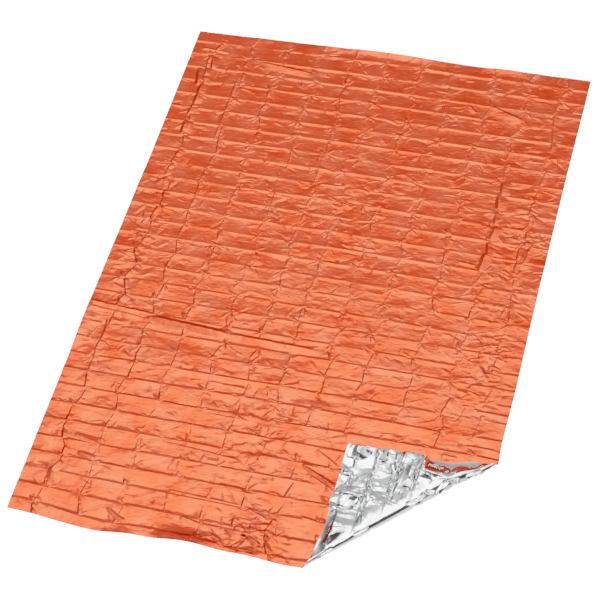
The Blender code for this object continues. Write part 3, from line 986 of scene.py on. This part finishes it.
def new_material(name):
    """A material and its shader."""
    material = bpy.data.materials.new(name)
    material.use_nodes = True
    return material, material.node_tree.nodes["Principled BSDF"]


def film_material(name, deep, light, worn, rim, gloss, dull, ripple, crinkle):
    """Metallised film: cloudy tint and sheen, rubbed paler and duller along its creases, with fine
    ripples across the sheet, small crinkles and handling scuffs."""
    material, shader = new_material(name)
    tree = material.node_tree
    shader.inputs["Metallic"].default_value = 1.0
    shader.inputs["Specular Tint"].default_value = rim
    flat = node(tree, "ShaderNodeUVMap", uv_map="flat_sheet").outputs["UV"]
    creased = node(tree, "ShaderNodeAttribute", attribute_name="crease_wear").outputs["Fac"]

    patches = noise_on(tree, flat, PATCHES, detail=4.0)
    wear = joined(tree, "MULTIPLY", creased, ranged(tree, patches, *PATCH_SPAN, LEAST_PATCH, 1.0))
    clouds = noise_on(tree, flat, CLOUDS, detail=5.0)
    scuffs = noise_on(tree, stretched(tree, flat, *SCUFFS), 1.0, detail=4.0)
    tint = mixed_colour(tree, ranged(tree, clouds, *CLOUD_SPAN, 0.0, 1.0), deep, light)
    rubbed = ranged(tree, wear, 0.10, 1.0, 0.0, MOST_RUBBED)
    tree.links.new(mixed_colour(tree, rubbed, tint, worn), shader.inputs["Base Color"])
    sheen = joined(tree, "ADD", ranged(tree, clouds, *CLOUD_SPAN, gloss, dull),
                   ranged(tree, scuffs, *SCUFF_SPAN, 0.00, dull - gloss))
    sheen = joined(tree, "ADD", sheen, ranged(tree, wear, 0.0, 1.0, 0.0, dull))
    tree.links.new(sheen, shader.inputs["Roughness"])

    ripples = noise_on(tree, stretched(tree, flat, *RIPPLES), 1.0, detail=3.0)
    crinkles = noise_on(tree, flat, CRINKLES, 3.0, "RIDGED_MULTIFRACTAL")
    normal = bumped(tree, crinkles, crinkle, bumped(tree, ripples, ripple))
    tree.links.new(normal, shader.inputs["Normal"])
    return material


# --- surroundings ---

def part_along(tree, direction, way):
    """How far directions go one way, from -1 to 1."""
    part = node(tree, "ShaderNodeVectorMath", operation="DOT_PRODUCT")
    part.inputs[1].default_value = way
    tree.links.new(direction, part.inputs[0])
    return part.outputs["Value"]


def grey_ramp(tree, value, rows):
    """A grey that goes with a value, by rows of the value and the grey."""
    ramp = node(tree, "ShaderNodeValToRGB")
    elements = ramp.color_ramp.elements
    while len(elements) < len(rows):
        elements.new(0.5)
    for element, (place, grey) in zip(elements, rows):
        element.position = place
        element.color = (grey, grey, grey, 1.0)
    tree.links.new(value, ramp.inputs["Fac"])
    return ramp.outputs["Color"]


def make_world():
    """A dome of soft light, and a plain backdrop where the camera looks past the floor."""
    world = bpy.data.worlds.new("studio")
    bpy.context.scene.world = world
    world.use_nodes = True
    tree = world.node_tree
    link = tree.links.new
    direction = node(tree, "ShaderNodeTexCoord").outputs["Generated"]

    split = node(tree, "ShaderNodeSeparateXYZ")
    link(direction, split.inputs["Vector"])
    over = joined(tree, "ARCTAN2", split.outputs["Z"], part_along(tree, direction, FAR_WAY))
    share = node(tree, "ShaderNodeMath", operation="DIVIDE")
    share.inputs[1].default_value = math.pi
    link(over, share.inputs[0])
    dome = grey_ramp(tree, share.outputs["Value"], [(up / 180, light / SKY_LIGHT) for up, light in SKY])

    aside = part_along(tree, direction, (FAR_WAY[1], -FAR_WAY[0], 0.0))
    sides = grey_ramp(tree, ranged(tree, aside, -1.0, 1.0, 0.0, 1.0),
                      [((side + 1.0) / 2.0, light) for side, light in SIDE_LIGHT])
    both = node(tree, "ShaderNodeMix", data_type="RGBA", blend_type="MULTIPLY")
    both.inputs["Factor"].default_value = 1.0
    link(dome, both.inputs["A"])
    link(sides, both.inputs["B"])
    background = tree.nodes["Background"]
    background.inputs["Strength"].default_value = SKY_LIGHT
    link(both.outputs["Result"], background.inputs["Color"])

    rays = node(tree, "ShaderNodeLightPath")
    pale = node(tree, "ShaderNodeBackground")
    pale.inputs["Color"].default_value = (1.0, 1.0, 1.0, 1.0)
    pale.inputs["Strength"].default_value = BACKDROP_LIGHT
    mix = node(tree, "ShaderNodeMixShader")
    link(rays.outputs["Is Camera Ray"], mix.inputs["Fac"])
    link(background.outputs["Background"], mix.inputs[1])
    link(pale.outputs["Background"], mix.inputs[2])
    link(mix.outputs["Shader"], tree.nodes["World Output"].inputs["Surface"])


def make_floor():
    data = bpy.data.meshes.new("floor")
    corners = [(x * FLOOR_HALF, y * FLOOR_HALF, 0) for x, y in ((-1, -1), (1, -1), (1, 1), (-1, 1))]
    data.from_pydata(corners, [], [(0, 1, 2, 3)])
    floor = placed("floor", data)
    floor.location.z = -FLOOR_DROP
    material, shader = new_material("pale_floor")
    shader.inputs["Base Color"].default_value = (0.95, 0.95, 0.95, 1.0)
    shader.inputs["Roughness"].default_value = 0.9
    shader.inputs["Specular IOR Level"].default_value = 0.1
    shader.inputs["Emission Color"].default_value = (1.0, 1.0, 1.0, 1.0)
    shader.inputs["Emission Strength"].default_value = FLOOR_GLOW
    data.materials.append(material)


def make_camera():
    azimuth, elevation, roll = (math.radians(angle) for angle in CAMERA_TURN)
    back = Vector((math.sin(azimuth) * math.cos(elevation), -math.cos(azimuth) * math.cos(elevation),
                   math.sin(elevation)))
    side = Vector((0.0, 0.0, 1.0)).cross(back).normalized()
    up = back.cross(side)
    rolled_side = side * math.cos(roll) + up * math.sin(roll)
    rolled_up = up * math.cos(roll) - side * math.sin(roll)
    data = bpy.data.cameras.new("camera")
    data.lens = CAMERA_LENS
    data.clip_end = 100.0
    camera = placed("camera", data)
    turn = Matrix((rolled_side, rolled_up, back)).transposed().to_4x4()
    place = Vector(CAMERA_PLACE) - Vector((*SHEET_MIDDLE, 0.0))
    camera.matrix_world = Matrix.Translation(place) @ turn
    bpy.context.scene.camera = camera


def set_tone_curve():
    """The soft shoulder and toe of a photograph."""
    view = bpy.context.scene.view_settings
    view.view_transform = "Standard"
    view.use_curve_mapping = True
    curves = view.curve_mapping
    curves.white_level = (TONE_WHITE,) * 3
    points = curves.curves[3].points
    while len(points) > 2:
        points.remove(points[1])
    points[0].location = (0.0, 0.0)
    points[1].location = (1.0, 1.0)
    for light, shown in TONE_CURVE:
        points.new(light / TONE_WHITE, shown)
    for point in points:
        point.handle_type = "VECTOR"
    curves.update()


orange = film_material("orange_film", *ORANGE)
silver = film_material("silver_film", *SILVER)
film = make_film((orange, silver))
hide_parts("foil_sheet")
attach(film, "root")
make_camera()
make_world()
make_floor()
set_tone_curve()
